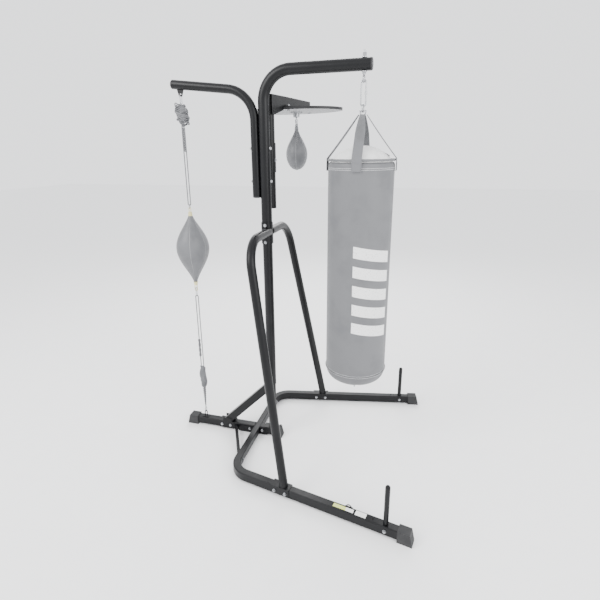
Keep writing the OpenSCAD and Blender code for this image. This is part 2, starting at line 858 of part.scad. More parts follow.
// Gathered spare cord under the clip
module upper_bundle() {
    color(grey) translate([cord_x, 0, 0]) {
        translate([0, 0, knot_z]) rotate([0, -22, 0]) rotate_extrude($fn = 40)
            polygon([for (a = [-90:15:90]) [max(38 * cos(a), 0.01), 52 * sin(a)]]);
        translate([0, 0, knot_z]) cylinder(r = 6, h = stem_z - knot_z - touch, $fn = 24);
        translate([0, 0, knot_end_z]) cylinder(r = 11.5, h = knot_z - knot_end_z, $fn = 40);
    }
}

// Two strands that loop through the hook on the bag
module upper_cord() {
    r = 8;
    color(grey) translate([cord_x, 0, 0]) {
        for (s = [-1, 1]) translate([s * r, 0, upper_loop_z + r])
            cylinder(r = cord_wire, h = knot_end_z - upper_loop_z - r - touch, $fn = 24);
        translate([0, 0, upper_loop_z + r]) rotate([90, 0, 0]) rotate([0, 0, 180])
            rotate_extrude(angle = 180, $fn = 64) translate([r, 0]) circle(cord_wire, $fn = 24);
    }
}

// Hook between the cord's loop and the bag
module upper_hook() {
    r = 6;
    top = upper_loop_z + cord_wire + hook_wire + 0.1;
    color(zinc) translate([cord_x, 0, 0]) rotate([0, 0, 90])
        long_link(r, hook_wire, lemon_pivot_z + r, top - r);
}

// Lemon-shaped bag with the reinforced tips
module double_end_bag() {
    top = lemon_pivot_z - 24;
    low = lemon_low_z + 36;
    h = top - low;
    function lemon(t) = 9 + (lemon_r - 9) * pow(sin(180 * pow(t, 0.94)), 1.5);
    color(grey) translate([cord_x, 0, 0]) rotate_extrude($fn = 72)
        polygon([[0, low], for (k = [0:1:28]) [lemon(1 - k / 28), low + h * k / 28], [0, top]]);
}

// Wire links on both tips of the bag
module bag_links() {
    color("khaki") translate([cord_x, 0, 0]) {
        long_link(6, 2, lemon_pivot_z - 24 + touch + 8, lemon_pivot_z - 1.6);
        long_link(8.5, 2, lemon_low_z + 4, lemon_low_z + 36 - touch - 10.5);
    }
}

// Two strands that loop through the hook under the bag
module lower_cord() {
    r = 9;
    foot_z = lower_knot_z[1];
    color(grey) translate([cord_x, 0, 0]) {
        for (s = [-1, 1]) translate([s * r, 0, foot_z + touch])
            cylinder(r = cord_wire, h = lower_loop_z - r - foot_z - touch, $fn = 24);
        translate([0, 0, lower_loop_z - r]) rotate([90, 0, 0])
            rotate_extrude(angle = 180, $fn = 64) translate([r, 0]) circle(cord_wire, $fn = 24);
    }
}

// Gathered spare cord above the floor hook, with its tail
module lower_bundle() {
    color(grey) translate([cord_x, 0, 0]) rotate_extrude($fn = 40)
        polygon([[0, lower_tail_z], [6, lower_tail_z], [11, 240], [12, lower_knot_z[0]],
            [20, 305], [22, 360], [19, 415], [13, lower_knot_z[1]], [0, lower_knot_z[1]]]);
}

// Hooks at both ends of the lower cord, the lower one on a stem
module lower_hook() {
    color(zinc) translate([cord_x, 0, 0]) {
        rotate([0, 0, 90]) {
            long_link(6.5, hook_wire, lower_loop_z - cord_wire - hook_wire - 0.1 + 6.5,
                lemon_low_z + 14);
            long_link(8.5, 2.4, floor_pivot_z + 8.5, floor_pivot_z + 24);
        }
        translate([0, 0, floor_pivot_z + 32.5])
            cylinder(r = 3.5, h = lower_tail_z - floor_pivot_z - 32.5 - touch, $fn = 24);
    }
}

module place() { translate([-centre_x, 0, 0]) children(); }

place() near_leg();
place() far_leg();
place() crossbar();
place() rear_leg();
place() cross_bracket();
place() near_foot();
place() far_foot();
place() rear_foot();
place() front_foot();
place() base_bolts();
place() side_strut();
place() base_post();
place() rear_brace();
place() brace_saddle();
place() near_saddle();
place() far_saddle();
place() near_peg();
place() far_peg();
place() leg_eye();
place() leg_labels();
place() floor_hook();
place() lower_mast();
place() a_frame_near();
place() a_frame_far();
place() mast_collar();
place() collar_bolts();
place() upper_mast();
place() arm_plug();
place() side_arm();
place() side_arm_plugs();
place() clamp_bolts();
place() cord_tab();
place() post_sleeve();
place() sleeve_screw();
place() bag_eyebolt();
place() eyebolt_nuts();
place() platform_post();
place() platform_bracket();
place() platform_board();
place() bracket_bolts();
place() swivel_plate();
place() swivel_hook();
place() speed_bag();
place() carabiner();
place() heavy_bag();
place() bag_cap();
place() bag_straps();
place() strap_ring();
place() base_ring();
place() upper_clip();
place() upper_bundle();
place() upper_cord();
place() upper_hook();
place() double_end_bag();
place() bag_links();
place() lower_cord();
place() lower_bundle();
place() lower_hook();
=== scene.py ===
"""Finishes, bags, straps, cords, floor, lights and camera of a three-station boxing stand."""

import json
import logging
import math
from collections.abc import Callable, Sequence
from dataclasses import dataclass, replace
from enum import Enum
from functools import cache

import bpy
from mathutils import Matrix, Vector

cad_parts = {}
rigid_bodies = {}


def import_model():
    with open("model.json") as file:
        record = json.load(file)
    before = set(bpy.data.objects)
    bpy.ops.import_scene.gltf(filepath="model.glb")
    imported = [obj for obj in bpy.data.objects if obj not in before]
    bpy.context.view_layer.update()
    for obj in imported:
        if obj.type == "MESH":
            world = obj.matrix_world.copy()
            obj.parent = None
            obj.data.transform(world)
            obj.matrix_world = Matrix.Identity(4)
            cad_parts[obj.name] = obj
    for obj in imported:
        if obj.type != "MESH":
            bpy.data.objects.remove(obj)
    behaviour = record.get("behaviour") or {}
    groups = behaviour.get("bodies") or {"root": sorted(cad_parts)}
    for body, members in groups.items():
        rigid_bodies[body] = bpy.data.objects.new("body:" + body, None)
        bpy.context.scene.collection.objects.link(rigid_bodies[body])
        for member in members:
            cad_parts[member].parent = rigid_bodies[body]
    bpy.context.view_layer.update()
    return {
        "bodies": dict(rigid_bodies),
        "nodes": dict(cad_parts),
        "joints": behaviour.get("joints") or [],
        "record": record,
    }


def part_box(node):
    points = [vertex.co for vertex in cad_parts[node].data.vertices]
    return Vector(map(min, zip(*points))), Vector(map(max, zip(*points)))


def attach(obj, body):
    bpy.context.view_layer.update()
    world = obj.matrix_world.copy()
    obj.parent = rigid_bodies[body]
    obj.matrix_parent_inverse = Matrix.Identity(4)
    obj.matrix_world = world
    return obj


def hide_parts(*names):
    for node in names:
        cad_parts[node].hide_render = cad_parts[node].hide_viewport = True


log = logging.getLogger("boxing_stand")

Colour = tuple[float, float, float]
Core = Callable[[float], tuple[float, float, float, float]]


class Bump(Enum):
    """Relief that a finish carries over its surface."""

    NOISE = "fine peel"
    PEBBLE = "rounded pebbles"


# ---------- shader expressions ----------


class Value:
    """A shader number that takes part in Python arithmetic."""

    def __init__(self, graph: "Graph", socket: bpy.types.NodeSocket) -> None:
        """Wrap a socket.

        Args:
            graph: The material graph that the socket belongs to.
            socket: The output socket to wrap.
        """
        self.graph = graph
        self.socket = socket

    def math(self, operation: str, other: "float | Value" = 0.0, swap: bool = False) -> "Value":
        """Apply one Math operation.

        Args:
            operation: The Math node's operation.
            other: The second value.
            swap: True to put the second value first.

        Returns:
            The result as a new value.
        """
        pair = (other, self) if swap else (self, other)
        made = self.graph.add("ShaderNodeMath", {"operation": operation}, {0: pair[0], 1: pair[1]})
        return Value(self.graph, made.outputs[0])

    def __add__(self, other: "float | Value") -> "Value":
        """Return the sum."""
        return self.math("ADD", other)

    def __radd__(self, other: "float | Value") -> "Value":
        """Return the sum, reflected."""
        return self.math("ADD", other)

    def __sub__(self, other: "float | Value") -> "Value":
        """Return the difference."""
        return self.math("SUBTRACT", other)

    def __rsub__(self, other: "float | Value") -> "Value":
        """Return the difference, reflected."""
        return self.math("SUBTRACT", other, swap=True)

    def __mul__(self, other: "float | Value") -> "Value":
        """Return the product."""
        return self.math("MULTIPLY", other)

    def __rmul__(self, other: "float | Value") -> "Value":
        """Return the product, reflected."""
        return self.math("MULTIPLY", other)

    def __truediv__(self, other: "float | Value") -> "Value":
        """Return the quotient."""
        return self.math("DIVIDE", other)

    def above(self, edge: float) -> "Value":
        """Return 1 where the value is greater than edge."""
        return self.math("GREATER_THAN", edge)

    def below(self, edge: float) -> "Value":
        """Return 1 where the value is less than edge."""
        return self.math("LESS_THAN", edge)

    def between(self, low: float, high: float) -> "Value":
        """Return 1 where the value lies between low and high."""
        return self.above(low) * self.below(high)

    def ramp(self, low: float, high: float) -> "Value":
        """Rise smoothly from 0 at low to 1 at high.

        Args:
            low: Value that gives 0.
            high: Value that gives 1.

        Returns:
            The smoothed share.
        """
        made = self.graph.add(
            "ShaderNodeMapRange",
            {"interpolation_type": "SMOOTHSTEP"},
            {"Value": self, "From Min": low, "From Max": high},
        )
        return Value(self.graph, made.outputs["Result"])


class Graph:
    """The node graph of one material, with its surface shader and output."""

    def __init__(self, name: str) -> None:
        """Start an empty material.

        Args:
            name: The material's name.
        """
        self.material = bpy.data.materials.new(name)
        self.material.use_nodes = True
        self.tree = self.material.node_tree
        self.tree.nodes.clear()
        self.shader = self.tree.nodes.new("ShaderNodeBsdfPrincipled")
        out = self.tree.nodes.new("ShaderNodeOutputMaterial")
        self.tree.links.new(self.shader.outputs["BSDF"], out.inputs["Surface"])
        self._place = self.add("ShaderNodeTexCoord")
        split = self.add("ShaderNodeSeparateXYZ", {}, {0: self._place.outputs["Object"]})
        self.x, self.y, self.z = (Value(self, s) for s in split.outputs)
        facing = self.add("ShaderNodeSeparateXYZ", {}, {0: self._place.outputs["Normal"]})
        self.up = Value(self, facing.outputs[2])

    def add(
        self, kind: str, settings: dict | None = None, inputs: dict | None = None
    ) -> bpy.types.Node:
        """Add one node.

        Args:
            kind: The node's type.
            settings: Node properties, set before its sockets.
            inputs: Values, sockets or Value objects by socket name or number.

        Returns:
            The node.
        """
        made = self.tree.nodes.new(kind)
        for key, value in (settings or {}).items():
            setattr(made, key, value)
        for key, value in (inputs or {}).items():
            self.feed(made.inputs[key], value)
        return made

    def feed(self, socket: bpy.types.NodeSocket, value: object) -> None:
        """Give a socket a link or a plain value.

        Args:
            socket: The input socket.
            value: A Value, an output socket, a colour or a number.
        """
        if isinstance(value, Value):
            self.tree.links.new(value.socket, socket)
        elif isinstance(value, bpy.types.NodeSocket):
            self.tree.links.new(value, socket)
        elif isinstance(value, tuple) and len(value) == 3 and socket.type == "RGBA":
            socket.default_value = (*value, 1.0)
        else:
            socket.default_value = value

    def noise(self, scale: float, detail: float = 3.0, stretch: Colour = (1.0, 1.0, 1.0)) -> Value:
        """Make soft noise in object space.

        Args:
            scale: Cells per metre.
            detail: Number of finer layers.
            stretch: Scale of the pattern along each axis.

        Returns:
            The noise, around 0.5.
        """
        mapped = self.add(
            "ShaderNodeMapping", {}, {"Vector": self._place.outputs["Object"], "Scale": stretch}
        )
        made = self.add(
            "ShaderNodeTexNoise",
            {},
            {"Vector": mapped.outputs[0], "Scale": scale, "Detail": detail},
        )
        return Value(self, made.outputs[0])

    def pebble(self, scale: float) -> Value:
        """Make rounded leather pebbles in object space.

        Args:
            scale: Pebbles per metre.

        Returns:
            Distance from the middle of the nearest pebble.
        """
        made = self.add(
            "ShaderNodeTexVoronoi", {}, {"Vector": self._place.outputs["Object"], "Scale": scale}
        )
        return Value(self, made.outputs["Distance"])

    def mix(self, share: "float | Value", first: object, second: object) -> bpy.types.NodeSocket:
        """Mix two colours.

        Args:
            share: Share of the second colour.
            first: First colour or socket.
            second: Second colour or socket.

        Returns:
            The mixed colour's socket.
        """
        made = self.add("ShaderNodeMix", {"data_type": "RGBA"}, {0: share, 6: first, 7: second})
        return made.outputs[2]

    def angle(self, centre: tuple[float, float]) -> Value:
        """Return the angle round an upright axis, in radians.

        Args:
            centre: Where the axis stands, as (x, y) in metres.

        Returns:
            The angle from +X.
        """
        return (self.y - centre[1]).math("ARCTAN2", self.x - centre[0])

    def relief(self, height: Value, depth: float) -> None:
        """Feed a height to the surface as a bump.

        Args:
            height: The height, from 0 to 1.
            depth: What a height of 1 stands for, in metres.
        """
        made = self.add(
            "ShaderNodeBump", {}, {"Height": height, "Distance": depth, "Strength": 0.8}
        )
        self.tree.links.new(made.outputs[0], self.shader.inputs["Normal"])


# ---------- finishes ----------


@dataclass(frozen=True)
class Finish:
    """A finish with soft mottling, uneven gloss and a fine relief."""

    name: str
    slot: str
    colour: Colour
    worn: Colour
    roughness: float
    metallic: float = 0.0
    spread: float = 0.12
    grain: float = 700.0
    depth: float = 0.0002
    bump: Bump = Bump.NOISE
    gloss: float = 0.4

    def base(self, g: Graph) -> bpy.types.NodeSocket:
        """Return the socket of the mottled base colour."""
        return g.mix(g.noise(9.0, 5.0).ramp(0.42, 0.72), self.colour, self.worn)

    def height(self, g: Graph) -> Value:
        """Return the fine relief."""
        return g.pebble(self.grain) if self.bump is Bump.PEBBLE else g.noise(self.grain, 2.0)

    def build(self) -> bpy.types.Material:
        """Make the material.

        Returns:
            The finished material.
        """
        g = Graph(self.name)
        g.feed(g.shader.inputs["Base Color"], self.base(g))
        g.feed(
            g.shader.inputs["Roughness"], (g.noise(26.0, 4.0) - 0.5) * self.spread + self.roughness
        )
        g.shader.inputs["Metallic"].default_value = self.metallic
        g.shader.inputs["Specular IOR Level"].default_value = self.gloss
        g.relief(self.height(g), self.depth)
        return g.material


@dataclass(frozen=True)
class PowderCoat(Finish):
    """Satin coat with a faint orange peel and dust on what faces up."""

    dust: Colour = (0.012, 0.0122, 0.0135)

    def base(self, g: Graph) -> bpy.types.NodeSocket:
        """Return the coat's colour with a trace of dust on top faces."""
        coat = super().base(g)
        return g.mix(
            g.up.ramp(0.5, 1.0) * g.noise(40.0, 4.0).ramp(0.45, 0.8) * 0.5, coat, self.dust
        )


@dataclass(frozen=True)
class Zinc(Finish):
    """Bright zinc with fine turning lines."""

    def height(self, g: Graph) -> Value:
        """Return fine lines that run round an upright axis."""
        return g.noise(self.grain, 2.0, (0.15, 0.15, 1.6))


@dataclass(frozen=True)
class PaintedBoard(Finish):
    """Painted ply board, dark on its edge and top and pale beneath."""

    beneath: Colour = (0.3, 0.303, 0.31)

    def base(self, g: Graph) -> bpy.types.NodeSocket:
        """Return the two-tone colour."""
        grained = g.mix(
            g.noise(30.0, 6.0, (1.0, 7.0, 1.0)).ramp(0.4, 0.7), self.beneath, (0.25, 0.253, 0.258)
        )
        return g.mix(g.up.below(-0.6), super().base(g), grained)

    def height(self, g: Graph) -> Value:
        """Return the raised grain of the face veneer."""
        return g.noise(60.0, 6.0, (1.0, 9.0, 1.0))


@dataclass(frozen=True)
class LabelFilm(Finish):
    """Blank label film, plain over one part and tinted over the rest."""

    tint: Colour = (0.62, 0.68, 0.2)
    edge_x: float = 0.0

    def base(self, g: Graph) -> bpy.types.NodeSocket:
        """Return the film's colour."""
        return g.mix(g.x.below(self.edge_x), super().base(g), self.tint)


@dataclass(frozen=True)
class Skin(Finish):
    """Bag skin sewn from panels, with a stitched seam between them."""

    centre: tuple[float, float] = (0.0, 0.0)
    panels: int = 4
    radius: float = 0.1
    turn: float = 0.4
    seam_w: float = 0.003
    stitch: float = 0.006

    def seam(self, g: Graph) -> Value:
        """Return 1 on the seams between the panels."""
        wave = (
            (g.angle(self.centre) + self.turn) * (self.panels / 2)
        ).math("SINE").math("ABSOLUTE")
        return 1.0 - wave.ramp(0.0, self.seam_w / self.radius * self.panels / 2)

    def base(self, g: Graph) -> bpy.types.NodeSocket:
        """Return the skin's colour with dark seams and pale thread."""
        thread = (g.z / self.stitch).math("FRACT").below(0.6)
        dark = g.mix(self.seam(g) * 0.7, super().base(g), (0.09, 0.09, 0.095))
        return g.mix(self.seam(g).ramp(0.6, 0.9) * thread * 0.6, dark, (0.6, 0.6, 0.6))

    def height(self, g: Graph) -> Value:
        """Return leather pebbles with the seams sunk in."""
        return g.pebble(self.grain) * 0.35 - self.seam(g)


@dataclass(frozen=True)
class BagCover(Skin):
    """Heavy bag cover with a plain striped mark and stitched hem lines."""

    rim_z: float = 1.756
    base_z: float = 0.511
    mark_turn: tuple[float, float] = (-1.6, -0.34)
    mark_z: tuple[float, float] = (0.84, 1.36)
    bars: int = 5

    def base(self, g: Graph) -> bpy.types.NodeSocket:
        """Return the cover's colour with its mark and hem stitches."""
        turn = g.angle(self.centre)
        low, high = self.mark_z
        slant = g.z - low + (turn - self.mark_turn[0]) * 0.03
        rung = (slant / ((high - low) / self.bars)).math("FRACT")
        bars = rung.between(0.14, 0.72) * slant.between(
            0.0, high - low
        ) * turn.between(*self.mark_turn)
        worn = g.noise(260.0, 3.0).ramp(0.25, 0.42)
        marked = g.mix(bars * worn, super().base(g), (0.86, 0.86, 0.85))
        rows = 0.0
        for z in self.hems():
            rows = (g.z - z).math("ABSOLUTE").below(0.0009) + rows
        dash = (turn * (self.radius / self.stitch)).math("FRACT").below(0.62)
        return g.mix(rows * dash, marked, (0.66, 0.66, 0.67))

    def hems(self) -> list[float]:
        """Return the heights of the stitched rows."""
        return [self.rim_z - 0.042, self.rim_z - 0.05, self.base_z + 0.074, self.base_z + 0.082]


@dataclass(frozen=True)
class Weave(Finish):
    """Woven cloth or webbing, with threads across each other."""

    pitch: float = 0.0024

    def height(self, g: Graph) -> Value:
        """Return the threads' relief."""
        step = 2 * math.pi / self.pitch
        up = (g.z * step).math("SINE")
        over = ((g.x + g.y) * step).math("SINE")
        return (up * over + 1.0) * 0.5

    def base(self, g: Graph) -> bpy.types.NodeSocket:
        """Return the cloth's colour, with painted shade in the hollows between its threads."""
        # Painted shade: the worn colour is mixed in where the thread relief is low, standing in for
        # shade between threads.
        return g.mix(self.height(g).ramp(0.7, 0.1) * 0.35, super().base(g), self.worn)


@dataclass(frozen=True)
class Braid(Weave):
    """Braided cover of elastic cord, with a fleck in every few strands."""

    def base(self, g: Graph) -> bpy.types.NodeSocket:
        """Return the braid's colour with dark flecks."""
        fleck = (g.z * 90.0 + g.angle((0.0, 0.0)) * 2.0).math("FRACT").below(0.16)
        return g.mix(fleck * 0.6, super().base(g), (0.12, 0.12, 0.13))


# ---------- modelling ----------


def deselect() -> None:
    """Leave edit mode and deselect everything."""
    if bpy.context.object is not None and bpy.context.object.mode != "OBJECT":
        bpy.ops.object.mode_set(mode="OBJECT")
    bpy.ops.object.select_all(action="DESELECT")


def settle(piece: bpy.types.Object, name: str, smooth_deg: float = 40.0) -> bpy.types.Object:
    """Name a piece, put its place in its mesh and smooth its faces.

    Args:
        piece: The object.
        name: Its name.
        smooth_deg: Faces that meet at less than this are shaded smooth.

    Returns:
        The same object.
    """
    deselect()
    piece.name = name
    piece.data.name = name
    piece.select_set(True)
    bpy.context.view_layer.objects.active = piece
    bpy.ops.object.transform_apply(location=True, rotation=True, scale=True)
    bpy.ops.object.shade_smooth_by_angle(angle=math.radians(smooth_deg))
    return piece


def outward(piece: bpy.types.Object) -> None:
    """Merge doubled points and turn every face outwards."""
    deselect()
    bpy.context.view_layer.objects.active = piece
    bpy.ops.object.mode_set(mode="EDIT")
    bpy.ops.mesh.select_all(action="SELECT")
    bpy.ops.mesh.remove_doubles(threshold=0.00001)
    bpy.ops.mesh.normals_make_consistent(inside=False)
    bpy.ops.object.mode_set(mode="OBJECT")


def finish_with(piece: bpy.types.Object, kind: str, **settings: object) -> None:
    """Add a modifier and apply it.

    Args:
        piece: The object.
        kind: The modifier's type.
        settings: Its properties.
    """
    deselect()
    piece.select_set(True)
    bpy.context.view_layer.objects.active = piece
    made = piece.modifiers.new(kind.title(), kind)
    for key, value in settings.items():
        setattr(made, key, value)
    bpy.ops.object.modifier_apply(modifier=made.name)


def turned(
    name: str, centre: tuple[float, float], rings: Sequence[tuple[float, float]], sides: int = 64
) -> bpy.types.Object:
    """Raise a turned shape ring by ring and close both of its ends.

    Args:
        name: The piece's name.
        centre: Where its axis stands.
        rings: Height and radius of each ring, from the bottom.
        sides: Points round each ring.

    Returns:
        The piece.
    """
    deselect()
    z, r = rings[0]
    bpy.ops.mesh.primitive_circle_add(
        vertices=sides, radius=r, fill_type="TRIFAN", location=(*centre, z)
    )
    piece = bpy.context.object
    bpy.ops.object.transform_apply(location=True, rotation=True, scale=True)
    bpy.ops.object.mode_set(mode="EDIT")
    bpy.ops.mesh.select_all(action="SELECT")
    for next_z, next_r in rings[1:]:
        bpy.ops.mesh.extrude_region_move(TRANSFORM_OT_translate={"value": (0, 0, next_z - z)})
        share = next_r / r
        bpy.ops.transform.resize(value=(share, share, 1), center_override=(*centre, next_z))
        z, r = next_z, next_r
    bpy.ops.object.mode_set(mode="OBJECT")
    outward(piece)
    return settle(piece, name)


def hoop(
    name: str,
    centre: Sequence[float],
    major: float,
    minor: float,
    turn: Sequence[float] = (0, 0, 0),
) -> bpy.types.Object:
    """Bend round wire into a closed ring.

    Args:
        name: The piece's name.
        centre: The ring's middle.
        major: Radius of the wire's middle line.
        minor: Radius of the wire.
        turn: Turn of the ring about X, Y and Z, in radians.

    Returns:
        The piece.
    """
    deselect()
    bpy.ops.mesh.primitive_torus_add(
        location=tuple(centre), rotation=tuple(turn), major_radius=major, minor_radius=minor,
        major_segments=48, minor_segments=14,
    )
    return settle(bpy.context.object, name, 60)


def band(
    name: str, path: Sequence[Vector], across: Vector, widths: Sequence[float], thick: float
) -> bpy.types.Object:
    """Lay a webbing band along a path, extruding its end edge step by step.

    Args:
        name: The piece's name.
        path: Points that its middle follows.
        across: Direction of its width.
        widths: Its width at each point.
        thick: Its thickness.

    Returns:
        The piece.
    """
    deselect()
    bpy.ops.mesh.primitive_plane_add(size=1)
    piece = bpy.context.object
    side = across.normalized()
    corners = [path[0] - side * widths[0] / 2, path[0] + side * widths[0] / 2,
               path[1] - side * widths[1] / 2, path[1] + side * widths[1] / 2]
    for vertex, place in zip(piece.data.vertices, corners):
        vertex.co = place
        vertex.select = False
    for vertex in piece.data.vertices[2:]:
        vertex.select = True
    for edge in piece.data.edges:
        edge.select = all(v >= 2 for v in edge.vertices)
    for face in piece.data.polygons:
        face.select = False
    bpy.ops.object.mode_set(mode="EDIT")
    bpy.context.tool_settings.mesh_select_mode = (False, True, False)
    bpy.ops.mesh.select_mode(type="EDGE")
    for k in range(2, len(path)):
        bpy.ops.mesh.extrude_edges_move(
            TRANSFORM_OT_translate={"value": tuple(path[k] - path[k - 1])}
        )
        share = widths[k] / widths[k - 1]
        scale = tuple(1 + (share - 1) * abs(c) for c in side)
        bpy.ops.transform.resize(value=scale, center_override=tuple(path[k]))
    bpy.ops.object.mode_set(mode="OBJECT")
    finish_with(piece, "SOLIDIFY", thickness=thick, offset=0.0)
    finish_with(piece, "BEVEL", width=thick * 0.3, segments=2, limit_method="ANGLE")
    finish_with(piece, "SUBSURF", levels=1, render_levels=1, subdivision_type="CATMULL_CLARK")
    outward(piece)
    return settle(piece, name)


def strand(name: str, path: Sequence[Sequence[float]], radius: float) -> bpy.types.Object:
    """Lay a round cord along a path as a curve of one open spline.

    Args:
        name: The piece's name.
        path: The points that it follows.
        radius: Its radius.

    Returns:
        The curve's object.
    """
    curve = bpy.data.curves.new(name, "CURVE")
    curve.dimensions = "3D"
    curve.bevel_depth = radius
    curve.bevel_resolution = 4
    curve.use_fill_caps = True
    spline = curve.splines.new("POLY")
    spline.points.add(len(path) - 1)
    for point, place in zip(spline.points, path):
        point.co = (*place, 1.0)
    spline.use_smooth = True
    piece = bpy.data.objects.new(name, curve)
    bpy.context.scene.collection.objects.link(piece)
    return piece


def wound(name: str, path: Sequence[Sequence[float]], radius: float) -> bpy.types.Object:
    """Wind a cord along a path and turn it into a mesh.

    Args:
        name: The piece's name.
        path: The points that it follows.
        radius: The cord's radius.

    Returns:
        The piece.
    """
    piece = strand(name, path, radius)
    piece.data.bevel_resolution = 2
    deselect()
    piece.select_set(True)
    bpy.context.view_layer.objects.active = piece
    bpy.ops.object.convert(target="MESH")
    return settle(bpy.context.object, name, 60)


def swell(
    piece: bpy.types.Object,
    voxel: float,
    most: float,
    sewn: Callable[[Vector], float],
    pressure: float = 4.0,
) -> None:
    """Fill a sewn cover with cloth simulation, holding it along its seams.

    Args:
        piece: The closed cover.
        voxel: Size of the cloth's squares.
        most: The furthest that a point may move.
        sewn: Gives how firmly a point is held, from 0 to 1.
        pressure: Push of the filling.
    """
    finish_with(piece, "REMESH", mode="VOXEL", voxel_size=voxel)
    rest = [v.co.copy() for v in piece.data.vertices]
    held = piece.vertex_groups.new(name="Sewn")
    for k, place in enumerate(rest):
        held.add([k], sewn(place), "REPLACE")
    cloth = piece.modifiers.new("Cloth", "CLOTH")
    cloth.settings.quality = 5
    cloth.settings.mass = 0.3
    cloth.settings.use_pressure = True
    cloth.settings.uniform_pressure_force = pressure
    cloth.settings.vertex_group_mass = held.name
    cloth.settings.effector_weights.gravity = 0.0
    scene = bpy.context.scene
    for frame in range(1, 21):
        scene.frame_set(frame)
    deselect()
    piece.select_set(True)
    bpy.context.view_layer.objects.active = piece
    bpy.ops.object.modifier_apply(modifier=cloth.name)
    scene.frame_set(1)
    for vertex, start in zip(piece.data.vertices, rest):
        move = vertex.co - start
        if move.length > most:
            vertex.co = start + move * (most / move.length)
    finish_with(piece, "SMOOTH", factor=0.5, iterations=3)
    finish_with(piece, "SUBSURF", levels=1, render_levels=1)
    settle(piece, piece.name, 180)


# ---------- the finishes of this stand ----------

COAT = PowderCoat(
    "satin_black_coat", "powder_coat", (0.0022, 0.0023, 0.003), (0.004, 0.0042, 0.005), 0.36,
    grain=1100.0, depth=0.00012, gloss=0.24,
)
BRIGHT_ZINC = Zinc(
    "bright_zinc", "zinc", (0.42, 0.427, 0.44), (0.28, 0.285, 0.295), 0.27,
    metallic=1.0, grain=900.0, depth=0.00008,
)
STRAP_RING_ZINC = replace(BRIGHT_ZINC, name="strap_ring_zinc", roughness=0.3, depth=0.0001)
BASE_RING_ZINC = replace(BRIGHT_ZINC, name="base_ring_zinc", roughness=0.3, depth=0.0002)
RUBBER = Finish(
    "moulded_rubber", "rubber", (0.018, 0.018, 0.019), (0.035, 0.035, 0.036), 0.72,
    grain=500.0, depth=0.0003,
)
PLUG_PLASTIC = Finish(
    "plug_plastic", "plug_plastic", (0.014, 0.014, 0.015), (0.022, 0.022, 0.024), 0.48, grain=800.0
)
PAINTED_PLY = PaintedBoard(
    "painted_ply", "board_wood", (0.012, 0.012, 0.013), (0.02, 0.02, 0.022), 0.5
)
BLANK_LABEL = LabelFilm("blank_label", "label_film", (0.85, 0.85, 0.82), (0.75, 0.75, 0.72), 0.4)
PALE_WIRE = Finish("pale_yellow_wire", "zinc", (0.62, 0.56, 0.3), (0.52, 0.47, 0.25), 0.45)
COVER_VINYL = BagCover(
    "bag_cover_vinyl", "bag_vinyl", (0.135, 0.137, 0.143), (0.115, 0.117, 0.123), 0.5,
    grain=420.0, depth=0.0006, bump=Bump.PEBBLE, panels=1,
)
WEBBING = Weave(
    "grey_webbing", "webbing", (0.15, 0.152, 0.16), (0.095, 0.097, 0.1), 0.75, depth=0.00015
)
WHITE_LINER = Weave(
    "white_liner", "liner", (0.86, 0.86, 0.85), (0.72, 0.72, 0.71), 0.8, depth=0.0004, pitch=0.0018
)
GREY_PIPING = Finish("grey_piping", "webbing", (0.2, 0.2, 0.21), (0.14, 0.14, 0.15), 0.6)
BALL_LEATHER = Skin(
    "ball_leather", "bag_leather", (0.135, 0.137, 0.144), (0.1, 0.102, 0.107), 0.42,
    grain=700.0, depth=0.0007,
)
TAB_LEATHER = Finish(
    "tab_leather", "bag_leather", (0.2, 0.205, 0.215), (0.12, 0.12, 0.13), 0.55,
    grain=800.0, bump=Bump.PEBBLE,
)
LACE_LEATHER = Finish(
    "lace_leather", "bag_leather", (0.3, 0.3, 0.31), (0.2, 0.2, 0.21), 0.6, grain=900.0
)
COLLAR_CLOTH = Weave(
    "pale_yellow_collar", "bag_leather", (0.72, 0.66, 0.36), (0.55, 0.5, 0.26), 0.65, depth=0.0004
)
GREY_BRAID = Braid(
    "grey_braid", "cord", (0.17, 0.172, 0.18), (0.11, 0.112, 0.118), 0.7,
    depth=0.0005, pitch=0.0022,
)
PALE_FLOOR = Finish(
    "pale_floor", "none", (0.93, 0.93, 0.93), (0.92, 0.92, 0.92), 0.9, grain=60.0, depth=0.0
)


@cache
def material_of(finish: Finish) -> bpy.types.Material:
    """Return a finish's material, made when it is first asked for."""
    return finish.build()


def dress(piece: bpy.types.Object, finish: Finish, body: str | None = None) -> None:
    """Give a piece its finish and, if it is new and the body it rides on.

    Args:
        piece: The piece.
        finish: Its finish, made once and shared.
        body: Name of the body, or None for a node that has one.
    """
    piece.data.materials.clear()
    piece.data.materials.append(material_of(finish))
    if body is not None:
        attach(piece, body)
        log.info("made %s", piece.name)


# ---------- sub-assemblies ----------


@dataclass
class MetalWork:
    """Every node of the stand that keeps its own shape, with its finish."""

    frame: dict
    soft: tuple[str, ...]
    tinted_share: float = 0.38

    def build(self) -> None:
        """Dress each node by the slot that the record gives it."""
        low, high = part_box("leg_labels")
        edge_x = low[0] + (high[0] - low[0]) * self.tinted_share
        label = replace(BLANK_LABEL, edge_x=edge_x)
        finishes = (COAT, BRIGHT_ZINC, RUBBER, PLUG_PLASTIC, PAINTED_PLY, label)
        by_slot = {finish.slot: finish for finish in finishes}
        slots = {part["node"]: part["material_slot"] for part in self.frame["record"]["subparts"]}
        for name, node in self.frame["nodes"].items():
            if name in self.soft:
                continue
            dress(node, PALE_WIRE if name == "bag_links" else by_slot[slots[name]])
            log.info("dressed %s", name)


